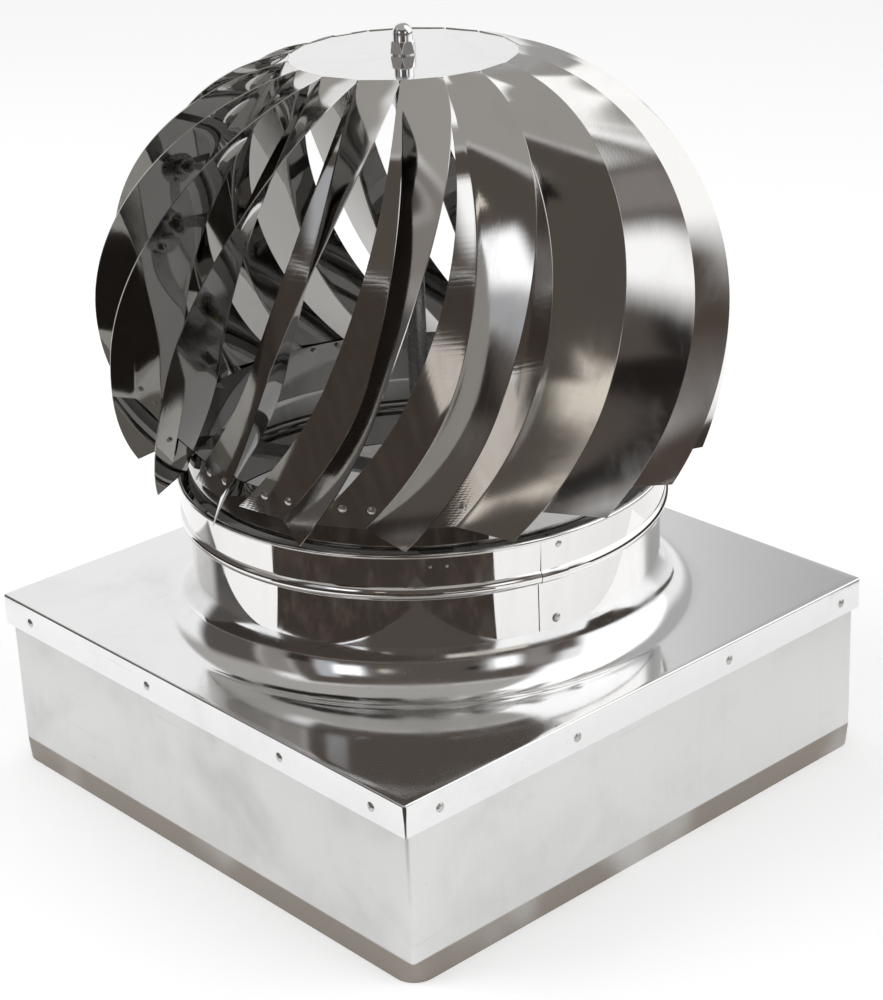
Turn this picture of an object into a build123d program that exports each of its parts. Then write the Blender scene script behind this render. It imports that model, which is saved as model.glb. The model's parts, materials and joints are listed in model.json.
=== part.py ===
"""Rotating globe ventilator for a square flue: curb box, neck, bearing and bladed rotor.

Millimetres. +Z is up and is the axis of rotation. The origin is on that axis, in the plane
that the curb box stands on. Bearings (azimuths) of the pieces are counted from one corner of
the box, called the front corner, which points to -45 degrees in the XY plane.
"""
from build123d import *
import math
import os

# ---------------------------------------------------------------- driving dimensions
# curb box and its cover
cover_side = 500.0          # square cover, outside the flange
cover_sheet = 1.0
cover_corner = 2.5          # vertical edges of the flange
cover_fold = 1.6            # outside of the fold between cover and flange
flange_depth = 26.0
base_height = 150.0         # ground to the top of the cover
box_inset = 4.2             # from the flange's outside to the box wall
box_sheet = 1.0
box_corner = 3.0
lip_play = 0.2              # the box's top lip inside the flange
skirt_height = 17.0
skirt_flare = 3.0
skirt_corner = 18.0

# spun cove of the cover and the collar that stands in it
cove_foot_radius = 217.0
cove_height = 39.0
cove_upstand = 14.0
collar_sheet = 0.8
collar_radius = 190.0       # lower band
collar_fit = 0.1            # upstand inside the collar
lower_band_height = 40.0
bead_height = 12.0
bead_bulge = 7.0
upper_band_step = 4.5       # upper band outside the lower band
upper_band_height = 27.0
rim_roll = 1.8              # radius of the rolled rim
seam_azimuth = 36.0
seam_lap = 22.0

# rivets
rivet_radius = 2.0
rivet_head_radius = 3.8
rivet_head_height = 1.3
rivet_tail_length = 2.0
flange_rivet_drop = 14.5
flange_rivet_shares_y = (-0.424, -0.102, 0.224, 0.428)  # of the side, on the Y sides
flange_rivet_shares_x = (-0.434, -0.160, 0.176, 0.450)  # of the side, on the X sides
blade_rivet_first_offset = 9.0      # from the fold, along the inner panel
blade_rivet_second_offset = 31.0
blade_rivet_lift = 15.0             # above the blade's foot
blade_rivet_play = 0.45             # under the head, where the panel is curved

# spider that carries the bearing housing
arm_count = 3
arm_azimuth = 6.2
arm_width = 25.0
arm_sheet = 3.0
arm_tab_height = 14.0
arm_tab_fit = 0.1
arm_rivet_spacing = 12.2
arm_rivet_drop = 10.0       # below the top of the rim
arm_inner_radius = 24.0

# bearing housing and its two ball bearings
housing_radius = 21.5
housing_length = 62.0
housing_flange_radius = 42.0
housing_flange_sheet = 6.0
housing_flange_lift = 20.0  # from the housing's lower end to the flange
housing_land_radius = 13.5
screw_circle_radius = 33.0
screw_radius = 3.0
screw_hole_play = 0.3
screw_head_radius = 5.0
screw_head_height = 6.0
screw_nut_across = 10.0
screw_nut_height = 5.0
bearing_bore_radius = 6.0
bearing_outer_radius = 16.0
bearing_width = 10.0
bearing_ring_sheet = 2.9
ball_radius = 2.9
ball_count = 7
ball_play = 0.1
cage_sheet = 1.2
cage_width = 7.6
cage_pocket_play = 0.15
clip_sheet = 1.2
clip_depth = 0.8            # how far the groove goes into the housing
clip_inward = 2.4           # how far the clip stands into the bore
bearing_recess = 2.0        # bearing face below the end of the housing

# spindle
spindle_collar_radius = 9.0
spindle_collar_height = 6.0
spindle_shaft_radius = 8.0
spindle_stud_radius = 6.0
lock_nut_across = 18.0
lock_nut_height = 8.0
lock_washer_radius = 10.0
lock_washer_sheet = 1.2
spindle_tail = 2.0          # beyond the lock nut

# rotor head
crown_lift = 443.3          # top of the cover to the top of the crown
head_sheet = 0.8
blade_count = 18
notch_radius = 88.0
notch_relief = 1.6          # gap at each end of a blade's root
notch_azimuth = 2.0
equator_lift = 247.0
equator_radius = 248.0
tip_lift = 134.0
tip_inset = 22.5            # tip of the fin inside its widest circle
edge_azimuths_upper = (22.0, 9.4, -3.2)     # outer edge: crown, shoulder, equator
edge_azimuths_lower = (-3.2, -10.0, -20.0)  # outer edge: equator, waist, tip
fold_equator_share = 0.75   # of the widest circle's radius
fold_foot_inset = 3.5       # inside the collar's upper band
fold_foot_lift = 136.0
fold_azimuths_upper = (2.0, 0.6, -7.2)
fold_azimuths_lower = (-7.2, -15.6, -29.4)
panel_root_width = 1.0
panel_shoulder_width = 15.0
panel_equator_width = 31.0
panel_waist_width = 38.0
panel_foot_width = 44.0
upper_stations = (0.0, 0.1, 0.25, 0.44, 0.64, 0.83)
lower_stations = (0.0, 0.2, 0.4, 0.6, 0.8, 1.0)

# ring that ties the blades' feet together
ring_play = 0.7             # between the ring and the flat feet of the blades
ring_sheet = 1.0
ring_drop_into_collar = 5.0
ring_height = 42.0

# fasteners at the crown
crown_lower_washer_radius = 14.0
crown_lower_washer_sheet = 1.6
crown_upper_washer_radius = 8.8
crown_upper_washer_sheet = 1.0
crown_hole_play = 0.2
jam_nut_height = 6.0
cap_nut_across = 18.0
cap_nut_hex_height = 9.5
cap_nut_height = 22.5
cap_nut_dome_radius = 7.6
cap_nut_thread_depth = 16.0

# ---------------------------------------------------------------- derived sizes
front_corner = -45.0
cover_top = base_height
box_half = cover_side / 2 - box_inset
upper_band_radius = collar_radius + upper_band_step
collar_bottom = cover_top + cove_height
bead_bottom = collar_bottom + lower_band_height
bead_top = bead_bottom + bead_height
collar_top = bead_top + upper_band_height
collar_inner = upper_band_radius - collar_sheet
crown_top = cover_top + crown_lift
ring_bottom = collar_top - ring_drop_into_collar
arm_rivet_height = collar_top - arm_rivet_drop
tab_top = arm_rivet_height + arm_tab_height / 2
arm_top = tab_top - arm_tab_height
housing_bottom = arm_top - housing_flange_lift
housing_top = housing_bottom + housing_length
lower_bearing_bottom = housing_bottom + bearing_recess
upper_bearing_bottom = housing_top - bearing_recess - bearing_width
ball_circle = (bearing_bore_radius + bearing_outer_radius) / 2
lock_washer_bottom = lower_bearing_bottom - lock_washer_sheet
lock_nut_bottom = lock_washer_bottom - lock_nut_height
spindle_bottom = lock_nut_bottom - spindle_tail
spindle_collar_bottom = upper_bearing_bottom + bearing_width
crown_underside = crown_top - head_sheet
jam_nut_bottom = crown_underside - crown_lower_washer_sheet - jam_nut_height
cap_nut_bottom = crown_top + crown_upper_washer_sheet
stud_top = cap_nut_bottom + cap_nut_thread_depth - 1.0
blade_pitch = 360.0 / blade_count
tip_radius = equator_radius - tip_inset
fold_equator_radius = equator_radius * fold_equator_share
fold_foot_radius = upper_band_radius - fold_foot_inset
panel_widths_upper = (panel_root_width, panel_shoulder_width, panel_equator_width)
panel_widths_lower = (panel_equator_width, panel_waist_width, panel_foot_width)
foot_half_angle = math.degrees(panel_foot_width / fold_foot_radius) / 2
ring_radius = (fold_foot_radius * math.cos(math.radians(foot_half_angle))
               - head_sheet - ring_play)


# ---------------------------------------------------------------- helpers
def polar(radius, azimuth, height):
    """Point at a radius and height, with its azimuth counted from the front corner."""
    angle = math.radians(front_corner + azimuth)
    return Vector(radius * math.cos(angle), radius * math.sin(angle), height)


def through(t, first, middle, last):
    """Parabola that has three given values at t = 0, 1/2 and 1."""
    return (first * (1 - t) * (1 - 2 * t) + 4 * middle * t * (1 - t) + last * t * (2 * t - 1))


def cylinder(radius, bottom, top):
    """Solid round bar on the rotor's axis."""
    return Pos(0, 0, (bottom + top) / 2) * Cylinder(radius, top - bottom)


def tube(inner, outer, bottom, top):
    """Hollow round bar on the rotor's axis."""
    return cylinder(outer, bottom, top) - cylinder(inner, bottom, top)


def hexagon(across, bottom, top, turn=0.0):
    """Hexagonal bar on the rotor's axis, by its width across flats."""
    outline = RegularPolygon(across / 2, 6, major_radius=False, rotation=turn)
    return extrude(Pos(0, 0, bottom) * outline, top - bottom)


def square_ring(outer_half, outer_corner, sheet, bottom, top):
    """Upright square wall with rounded corners."""
    inner_half = outer_half - sheet
    inner_corner = max(outer_corner - sheet, 0.4)
    outline = RectangleRounded(2 * outer_half, 2 * outer_half, outer_corner)
    outline -= RectangleRounded(2 * inner_half, 2 * inner_half, inner_corner)
    return extrude(Pos(0, 0, bottom) * outline, top - bottom)


def facing_out(origin, azimuth):
    """Frame at a point whose Z axis points level and outwards along an azimuth."""
    outward = polar(1, azimuth, 0)
    return Plane(origin=origin, x_dir=Vector(0, 0, 1), z_dir=outward)


def rivet(seat, grip):
    """Domed rivet: the head stands on the seat plane and the shank reaches back through."""
    sphere_radius = (rivet_head_radius ** 2 + rivet_head_height ** 2) / (2 * rivet_head_height)
    with BuildSketch(Plane.XZ) as outline:
        with BuildLine():
            Polyline((0, rivet_head_height), (0, -grip - rivet_tail_length),
                     (rivet_radius, -grip - rivet_tail_length), (rivet_radius, 0),
                     (rivet_head_radius, 0))
            RadiusArc((rivet_head_radius, 0), (0, rivet_head_height), -sphere_radius)
        make_face()
    body = revolve(outline.sketch, Axis.Z)
    return seat * body


def rivet_hole(seat, grip):
    """Bar that cuts the rivet's hole, a little longer than the grip on both sides."""
    reach = grip + 2 * rivet_tail_length
    return seat * Pos(0, 0, rivet_tail_length / 2 - grip / 2) * Cylinder(rivet_radius, reach)


# ---------------------------------------------------------------- curb box and cover
def flange_rivet_seats():
    """Seats of the rivets on the four sides of the flange."""
    height = cover_top - flange_rivet_drop
    half = cover_side / 2
    seats = []
    for share in flange_rivet_shares_y:
        along = share * cover_side
        seats.append(Plane((along, -half, height), x_dir=(0, 0, 1), z_dir=(0, -1, 0)))
        seats.append(Plane((-along, half, height), x_dir=(0, 0, 1), z_dir=(0, 1, 0)))
    for share in flange_rivet_shares_x:
        along = share * cover_side
        seats.append(Plane((half, along, height), x_dir=(0, 0, 1), z_dir=(1, 0, 0)))
        seats.append(Plane((-half, -along, height), x_dir=(0, 0, 1), z_dir=(-1, 0, 0)))
    return seats


def flange_grip():
    """From the flange's outside to the inside of the box wall."""
    return box_inset + box_sheet


def skirt_shell(half_grow, corner_grow, bottom, top):
    """Solid between the flared foot and the straight wall of the box."""
    foot = RectangleRounded(2 * (box_half + skirt_flare + half_grow),
                            2 * (box_half + skirt_flare + half_grow), skirt_corner + corner_grow)
    wall = RectangleRounded(2 * (box_half + half_grow), 2 * (box_half + half_grow),
                            box_corner + corner_grow)
    return loft([Pos(0, 0, bottom) * foot, Pos(0, 0, top) * wall])


def make_base_box():
    """Square wall with a flared skirt below and a lip that the cover rests on."""
    underside = cover_top - cover_sheet
    lip_half = cover_side / 2 - cover_sheet - lip_play
    box = square_ring(box_half, box_corner, box_sheet, skirt_height, underside)
    skirt = skirt_shell(0, 0, 0, skirt_height)
    skirt -= skirt_shell(-box_sheet, -box_sheet, 0, skirt_height)
    lip = square_ring(lip_half, box_corner, lip_half - box_half + box_sheet,
                      underside - box_sheet, underside)
    box = box + skirt + lip
    for seat in flange_rivet_seats():
        box -= rivet_hole(seat, flange_grip())
    return box


def cove_profile():
    """Half section of the spun cove and its upstand."""
    outer_radius = collar_radius - collar_sheet - collar_fit
    inner_radius = outer_radius - cover_sheet
    reach = cove_foot_radius - outer_radius
    rise = collar_bottom
    with BuildSketch(Plane.XZ) as section:
        with BuildLine():
            EllipticalCenterArc((cove_foot_radius, rise), reach, cove_height, 180, arc_size=90)
            Line((cove_foot_radius, cover_top), (cove_foot_radius, cover_top - cover_sheet))
            EllipticalCenterArc((cove_foot_radius, rise), reach + cover_sheet,
                                cove_height + cover_sheet, 180, arc_size=90)
            Polyline((inner_radius, rise), (inner_radius, rise + cove_upstand),
                     (outer_radius, rise + cove_upstand), (outer_radius, rise))
        make_face()
    return section.sketch


def make_base_cover():
    """Flat cover with a turned-down flange and a spun cove up to the collar."""
    outline = RectangleRounded(cover_side, cover_side, cover_corner)
    block = extrude(Pos(0, 0, cover_top - flange_depth) * outline, flange_depth)
    rim = block.faces().sort_by(Axis.Z)[-1].edges()
    block = fillet(rim, cover_fold)
    inner_corner = cover_corner - cover_sheet
    inner_side = cover_side - 2 * cover_sheet
    room = extrude(Pos(0, 0, cover_top - flange_depth)
                   * RectangleRounded(inner_side, inner_side, inner_corner),
                   flange_depth - cover_sheet)
    cover = block - room - cylinder(cove_foot_radius, cover_top - cover_sheet, cover_top)
    cover += revolve(cove_profile(), Axis.Z)
    for seat in flange_rivet_seats():
        cover -= rivet_hole(seat, cover_sheet + lip_play)
    for seat in seam_rivet_seats():
        cover -= rivet_hole(seat, seam_grip())
    return cover


def make_cover_rivets():
    """Rivets through the flange and the box wall."""
    return [rivet(seat, flange_grip()) for seat in flange_rivet_seats()]


# ---------------------------------------------------------------- collar
def collar_profile(grow):
    """Half section of the collar's sheet: lower band, bead and upper band."""
    low = collar_radius + grow
    high = upper_band_radius + grow
    crest = collar_radius + bead_bulge + grow
    bead_middle = (bead_bottom + bead_top) / 2
    with BuildSketch(Plane.XZ) as section:
        with BuildLine():
            Line((low, collar_bottom), (low, bead_bottom))
            ThreePointArc((low, bead_bottom), (crest, bead_middle), (high, bead_top))
            Line((high, bead_top), (high, collar_top - rim_roll))
            Line((high, collar_top - rim_roll), (high - collar_sheet, collar_top - rim_roll))
            Line((high - collar_sheet, collar_top - rim_roll), (high - collar_sheet, bead_top))
            ThreePointArc((high - collar_sheet, bead_top), (crest - collar_sheet, bead_middle),
                          (low - collar_sheet, bead_bottom))
            Line((low - collar_sheet, bead_bottom), (low - collar_sheet, collar_bottom))
            Line((low - collar_sheet, collar_bottom), (low, collar_bottom))
        make_face()
    return section.sketch


def seam_rivet_seats():
    """Seats of the two rivets in the lap seam."""
    lap_angle = math.degrees(seam_lap / collar_radius)
    azimuth = seam_azimuth - lap_angle / 3
    low = polar(collar_radius + collar_sheet, azimuth, collar_bottom + lower_band_height / 5)
    high = polar(upper_band_radius + collar_sheet, azimuth, arm_rivet_height + rim_roll)
    return [facing_out(low, azimuth), facing_out(high, azimuth)]


def seam_grip():
    """Both sheets of the lap and the cover's upstand behind it."""
    return 2 * collar_sheet + collar_fit + cover_sheet


def arm_azimuths():
    """Azimuths of the spider's arms."""
    return [arm_azimuth + index * 360.0 / arm_count for index in range(arm_count)]


def arm_rivet_seats():
    """Seats of the rivets that hold the arms' tabs to the collar."""
    step = math.degrees(arm_rivet_spacing / upper_band_radius)
    seats = []
    for azimuth in arm_azimuths():
        for side in (-0.5, 0.5):
            place = polar(upper_band_radius, azimuth + side * step, arm_rivet_height)
            seats.append(facing_out(place, azimuth + side * step))
    return seats


def arm_grip():
    """Collar sheet, fit and tab together."""
    return collar_sheet + arm_tab_fit + arm_sheet


def make_neck_collar():
    """Rolled collar with its lap seam, swaged bead and rolled rim."""
    lap_angle = math.degrees(seam_lap / collar_radius)
    collar = revolve(collar_profile(0), Axis.Z)
    lap = revolve(collar_profile(collar_sheet), Axis.Z, revolution_arc=lap_angle)
    collar += Rot(0, 0, front_corner + seam_azimuth - lap_angle) * lap
    rim_centre = upper_band_radius - collar_sheet + rim_roll
    collar += Pos(0, 0, collar_top - rim_roll) * Torus(rim_centre, rim_roll)
    for seat in seam_rivet_seats():
        collar -= rivet_hole(seat, seam_grip())
    for seat in arm_rivet_seats():
        collar -= rivet_hole(seat, collar_sheet)
    return collar


def make_neck_seam_rivets():
    """Rivets of the collar's lap seam; the lower one also holds the cover's upstand."""
    return [rivet(seat, seam_grip()) for seat in seam_rivet_seats()]


# ---------------------------------------------------------------- spider and housing
def make_spider_arm(azimuth):
    """Flat bar from the housing out to the collar, with its end bent up into a tab."""
    reach = collar_inner - arm_tab_fit
    middle = (arm_inner_radius + reach) / 2
    bar = Pos(middle, 0, arm_top - arm_sheet / 2) * Box(reach - arm_inner_radius, arm_width,
                                                        arm_sheet)
    bar &= cylinder(reach, arm_top - arm_sheet, arm_top)
    shell = tube(reach - arm_sheet, reach, arm_top - arm_sheet, tab_top)
    tab = shell & (Pos(reach, 0, (arm_top + tab_top - arm_sheet) / 2)
                   * Box(4 * arm_sheet, arm_width, arm_tab_height + arm_sheet))
    arm = Rot(0, 0, front_corner + azimuth) * (bar + tab)
    hole_place = polar(screw_circle_radius, azimuth, arm_top - arm_sheet / 2)
    arm -= Pos(hole_place) * Cylinder(screw_radius + screw_hole_play, 2 * arm_sheet)
    for seat in arm_rivet_seats():
        arm -= rivet_hole(seat, arm_grip())
    return arm


def make_bearing_housing():
    """Turned tube with two bearing seats and a flange that lies on the arms."""
    housing = cylinder(housing_radius, housing_bottom, housing_top)
    housing += cylinder(housing_flange_radius, arm_top, arm_top + housing_flange_sheet)
    housing -= cylinder(housing_land_radius, housing_bottom, housing_top)
    housing -= cylinder(bearing_outer_radius, housing_bottom, lower_bearing_bottom + bearing_width)
    housing -= cylinder(bearing_outer_radius, upper_bearing_bottom, housing_top)
    for bottom in clip_bottoms():
        housing -= cylinder(bearing_outer_radius + clip_depth, bottom, bottom + clip_sheet)
    for azimuth in arm_azimuths():
        hole_place = polar(screw_circle_radius, azimuth, arm_top + housing_flange_sheet / 2)
        housing -= Pos(hole_place) * Cylinder(screw_radius + screw_hole_play,
                                              2 * housing_flange_sheet)
    return housing


def clip_bottoms():
    """Lower faces of the two retaining rings, which lie against the bearings."""
    return (lower_bearing_bottom - clip_sheet, upper_bearing_bottom + bearing_width)


def make_retaining_ring(bottom):
    """Open spring ring in its groove."""
    ring = tube(bearing_outer_radius - clip_inward, bearing_outer_radius + clip_depth,
                bottom, bottom + clip_sheet)
    gap = Pos(bearing_outer_radius, 0, bottom + clip_sheet / 2) * Box(8, 5, 2 * clip_sheet)
    return ring - gap


def make_housing_screws():
    """Cap screws through the housing's flange and the arms."""
    seat = arm_top + housing_flange_sheet
    tip = arm_top - arm_sheet - screw_nut_height - 1.5
    screws = []
    for azimuth in arm_azimuths():
        head = cylinder(screw_head_radius, seat, seat + screw_head_height)
        head -= hexagon(screw_radius * 5 / 3, seat + screw_head_height / 2,
                        seat + screw_head_height)
        screw = head + cylinder(screw_radius, tip, seat)
        screws.append(Pos(polar(screw_circle_radius, azimuth, 0)) * screw)
    return screws


def make_housing_nuts():
    """Nuts below the arms."""
    top = arm_top - arm_sheet
    nuts = []
    for azimuth in arm_azimuths():
        nut = hexagon(screw_nut_across, top - screw_nut_height, top)
        nut -= cylinder(screw_radius, top - screw_nut_height, top)
        nuts.append(Pos(polar(screw_circle_radius, azimuth, 0)) * nut)
    return nuts


# ---------------------------------------------------------------- ball bearings
def raceway(bottom):
    """Torus that grinds the groove of both rings of one bearing."""
    return Pos(0, 0, bottom + bearing_width / 2) * Torus(ball_circle, ball_radius + ball_play)


def make_bearing_outer(bottom):
    """Outer ring, pressed into the housing."""
    ring = tube(bearing_outer_radius - bearing_ring_sheet, bearing_outer_radius,
                bottom, bottom + bearing_width)
    return ring - raceway(bottom)


def make_bearing_inner(bottom):
    """Inner ring, on the spindle."""
    ring = tube(bearing_bore_radius, bearing_bore_radius + bearing_ring_sheet,
                bottom, bottom + bearing_width)
    return ring - raceway(bottom)


def ball_places(bottom):
    """Centres of the balls of one bearing."""
    step = 360.0 / ball_count
    return [polar(ball_circle, index * step, bottom + bearing_width / 2)
            for index in range(ball_count)]


def make_balls(bottom):
    """Balls of one bearing."""
    return [Pos(place) * Sphere(ball_radius) for place in ball_places(bottom)]


def make_cage(bottom):
    """Ring that keeps the balls apart."""
    middle = bottom + bearing_width / 2
    cage = tube(ball_circle - cage_sheet / 2, ball_circle + cage_sheet / 2,
                middle - cage_width / 2, middle + cage_width / 2)
    for index in range(ball_count):
        azimuth = index * 360.0 / ball_count
        pocket = facing_out(polar(ball_circle, azimuth, middle), azimuth)
        cage -= pocket * Cylinder(ball_radius + cage_pocket_play, 4 * cage_sheet)
    return cage


# ---------------------------------------------------------------- spindle
def make_spindle():
    """Stepped shaft from the lock nut up through the crown."""
    shoulder = spindle_collar_bottom + spindle_collar_height
    spindle = cylinder(bearing_bore_radius, spindle_bottom, spindle_collar_bottom)
    spindle += cylinder(spindle_collar_radius, spindle_collar_bottom, shoulder)
    spindle += cylinder(spindle_shaft_radius, shoulder, jam_nut_bottom)
    spindle += cylinder(spindle_stud_radius, jam_nut_bottom, stud_top)
    return spindle


def make_lock_washer():
    """Washer between the lower inner ring and its lock nut."""
    return tube(bearing_bore_radius, lock_washer_radius, lock_washer_bottom, lower_bearing_bottom)


def make_lock_nut():
    """Nut that holds the lower inner ring on the spindle."""
    return (hexagon(lock_nut_across, lock_nut_bottom, lock_washer_bottom)
            - cylinder(bearing_bore_radius, lock_nut_bottom, lock_washer_bottom))


def make_jam_nut():
    """Nut under the crown, on the spindle's shoulder."""
    top = jam_nut_bottom + jam_nut_height
    return (hexagon(cap_nut_across, jam_nut_bottom, top)
            - cylinder(spindle_stud_radius, jam_nut_bottom, top))


def make_crown_washer(radius, bottom, top):
    """Washer on one face of the crown."""
    return tube(spindle_stud_radius + crown_hole_play, radius, bottom, top)


def make_cap_nut():
    """Domed nut on top of the crown."""
    hex_top = cap_nut_bottom + cap_nut_hex_height
    dome_centre = cap_nut_bottom + cap_nut_height - cap_nut_dome_radius
    nut = hexagon(cap_nut_across, cap_nut_bottom, hex_top, turn=12.0)
    nut &= Pos(0, 0, cap_nut_bottom + cap_nut_height / 2) * Cone(
        cap_nut_across * 0.78, cap_nut_across * 0.36, cap_nut_height)
    nut += cylinder(cap_nut_dome_radius, hex_top, dome_centre)
    nut += Pos(0, 0, dome_centre) * Sphere(cap_nut_dome_radius)
    return nut - cylinder(spindle_stud_radius, cap_nut_bottom,
                          cap_nut_bottom + cap_nut_thread_depth)


# ---------------------------------------------------------------- rotor head
def make_crown_plate():
    """Flat plate whose sides are the bend lines of the blades."""
    corners = [polar(notch_radius, notch_azimuth + index * blade_pitch, 0)
               for index in range(blade_count)]
    outline = make_face(Polyline(*[(p.X, p.Y) for p in corners], close=True))
    plate = extrude(Pos(0, 0, crown_underside) * outline, head_sheet)
    for corner in corners:
        plate -= Pos(corner.X, corner.Y, crown_top) * Cylinder(notch_relief, 4 * head_sheet)
    return plate - cylinder(spindle_stud_radius + crown_hole_play, crown_underside, crown_top)


def bend(t, top_radius, top_height, waist_radius, waist_height):
    """Point of the arc from the crown (t = 0) that ends upright at the waist (t = 1)."""
    rise = top_height - waist_height
    reach = waist_radius - top_radius
    radius = (rise ** 2 + reach ** 2) / (2 * reach)
    start = math.asin(rise / radius)
    if reach > radius:
        start = math.pi - start
    angle = start * (1 - t)
    return waist_radius - radius * (1 - math.cos(angle)), waist_height + radius * math.sin(angle)


def edge_point(t, lower):
    """Point of a fin's outer edge, on the upper or the lower half of the blade."""
    waist = cover_top + equator_lift
    if lower:
        radius, height = bend(1 - t, tip_radius, cover_top + tip_lift, equator_radius, waist)
        azimuth = through(t, *edge_azimuths_lower)
    else:
        radius, height = bend(t, notch_radius, crown_top, equator_radius, waist)
        azimuth = through(t, *edge_azimuths_upper)
    return polar(radius, azimuth, height)


def fold_place(t, lower):
    """Radius, azimuth and height of the fold between fin and inner panel."""
    waist = cover_top + equator_lift
    if lower:
        growth = t * t * (3 - 2 * t)
        radius = fold_equator_radius + (fold_foot_radius - fold_equator_radius) * growth
        height = waist + (cover_top + fold_foot_lift - waist) * t
        return radius, through(t, *fold_azimuths_lower), height
    radius, height = bend(t, notch_radius, crown_top, fold_equator_radius, waist)
    return radius, through(t, *fold_azimuths_upper), height


def blade_section(t, lower):
    """Bent strip section: inner panel, fold and fin, one sheet thick."""
    edge = edge_point(t, lower)
    radius, azimuth, height = fold_place(t, lower)
    fold = polar(radius, azimuth, height)
    widths = panel_widths_lower if lower else panel_widths_upper
    width = through(t, *widths)
    panel_end = polar(radius, azimuth - math.degrees(width / radius), height)
    fin = (edge - fold).normalized()
    if t == 0 and not lower:
        panel = fin
        edge = edge - fin * notch_relief
        fold = fold + fin * notch_relief
        panel_end = fold - fin * width
        along = polar(-1, (azimuth + edge_azimuths_upper[0]) / 2, 0)
    else:
        panel = (fold - panel_end).normalized()
        along = (fold - panel_end).cross(fold - edge).normalized()
    panel_side = along.cross(panel).normalized()
    fin_side = along.cross(fin).normalized()
    mitre = (panel_side + fin_side) * (head_sheet / (1 + panel_side.dot(fin_side)))
    corners = [panel_end, fold, edge, edge + fin_side * head_sheet, fold + mitre,
               panel_end + panel_side * head_sheet]
    return make_face(Polyline(*corners, close=True))


def panel_point(t, offset):
    """Point of the inner panel's outside on the lower half, at a distance from the fold."""
    radius, azimuth, height = fold_place(t, True)
    width = through(t, *panel_widths_lower)
    fold = polar(radius, azimuth, height)
    panel_end = polar(radius, azimuth - math.degrees(width / radius), height)
    return fold + (panel_end - fold).normalized() * offset


def blade_rivet_seats():
    """Seats of the rivets at the foot of the first blade, square to the panel there."""
    t = 1 - blade_rivet_lift / (equator_lift - fold_foot_lift)
    step = 0.01
    seats = []
    for offset in (blade_rivet_first_offset, blade_rivet_second_offset):
        down = panel_point(t + step, offset) - panel_point(t - step, offset)
        across = panel_point(t, offset + 1) - panel_point(t, offset - 1)
        outward = across.cross(down).normalized()
        seats.append(Plane(origin=panel_point(t, offset) + outward * blade_rivet_play,
                           x_dir=across, z_dir=outward))
    return seats


def blade_grip():
    """From the panel's outside to the inside of the ring."""
    return fold_foot_radius - ring_radius + ring_sheet + blade_rivet_play


def make_first_blade():
    """One folded blade: fin outside, inner panel riveted to the ring at its foot."""
    sections = [blade_section(t, False) for t in upper_stations]
    sections += [blade_section(t, True) for t in lower_stations]
    blade = loft(sections)
    for seat in blade_rivet_seats():
        blade -= rivet_hole(seat, head_sheet + 2 * blade_rivet_play)
    return blade


def make_rotor_ring():
    """Rolled ring inside the blades' feet, reaching down into the collar's mouth."""
    ring = tube(ring_radius - ring_sheet, ring_radius, ring_bottom, ring_bottom + ring_height)
    for index in range(blade_count):
        for seat in blade_rivet_seats():
            ring -= Rot(0, 0, index * blade_pitch) * rivet_hole(seat, blade_grip())
    return ring


def make_blade_rivets():
    """Rivets of all the blades' feet."""
    return [Rot(0, 0, index * blade_pitch) * rivet(seat, blade_grip())
            for index in range(blade_count) for seat in blade_rivet_seats()]


# ---------------------------------------------------------------- assembly
def build_base():
    """Every node that stands still."""
    nodes = {
        "base_box": make_base_box(),
        "base_cover": make_base_cover(),
        "cover_rivets": make_cover_rivets(),
        "neck_collar": make_neck_collar(),
        "neck_seam_rivets": make_neck_seam_rivets(),
        "arm_rivets": [rivet(seat, arm_grip()) for seat in arm_rivet_seats()],
        "bearing_housing": make_bearing_housing(),
        "housing_screws": make_housing_screws(),
        "housing_nuts": make_housing_nuts(),
        "lower_retaining_ring": make_retaining_ring(clip_bottoms()[0]),
        "upper_retaining_ring": make_retaining_ring(clip_bottoms()[1]),
        "lower_bearing_outer_ring": make_bearing_outer(lower_bearing_bottom),
        "upper_bearing_outer_ring": make_bearing_outer(upper_bearing_bottom),
    }
    for index, azimuth in enumerate(arm_azimuths(), start=1):
        nodes[f"spider_arm_{index}"] = make_spider_arm(azimuth)
    return nodes


def build_rolling_parts():
    """Balls and cages, which go round at their own slower speed."""
    return {
        "lower_bearing_balls": make_balls(lower_bearing_bottom),
        "lower_bearing_cage": make_cage(lower_bearing_bottom),
        "upper_bearing_balls": make_balls(upper_bearing_bottom),
        "upper_bearing_cage": make_cage(upper_bearing_bottom),
    }


def build_rotor():
    """Every node that spins with the spindle."""
    nodes = {
        "spindle": make_spindle(),
        "lower_bearing_inner_ring": make_bearing_inner(lower_bearing_bottom),
        "upper_bearing_inner_ring": make_bearing_inner(upper_bearing_bottom),
        "spindle_lock_washer": make_lock_washer(),
        "spindle_lock_nut": make_lock_nut(),
        "crown_plate": make_crown_plate(),
        "crown_lower_washer": make_crown_washer(
            crown_lower_washer_radius, crown_underside - crown_lower_washer_sheet,
            crown_underside),
        "crown_upper_washer": make_crown_washer(
            crown_upper_washer_radius, crown_top, cap_nut_bottom),
        "crown_jam_nut": make_jam_nut(),
        "crown_cap_nut": make_cap_nut(),
        "rotor_ring": make_rotor_ring(),
        "blade_rivets": make_blade_rivets(),
    }
    first_blade = make_first_blade()
    for index in range(blade_count):
        nodes[f"blade_{index + 1:02d}"] = Rot(0, 0, index * blade_pitch) * first_blade
    return nodes


def write_nodes(nodes):
    """One STEP file per node; a group of like pieces shares one file."""
    os.makedirs("parts", exist_ok=True)
    for name, shape in nodes.items():
        if isinstance(shape, list):
            shape = Compound(children=shape)
        export_step(shape, os.path.join("parts", f"{name}.step"))


write_nodes({**build_base(), **build_rolling_parts(), **build_rotor()})
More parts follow.
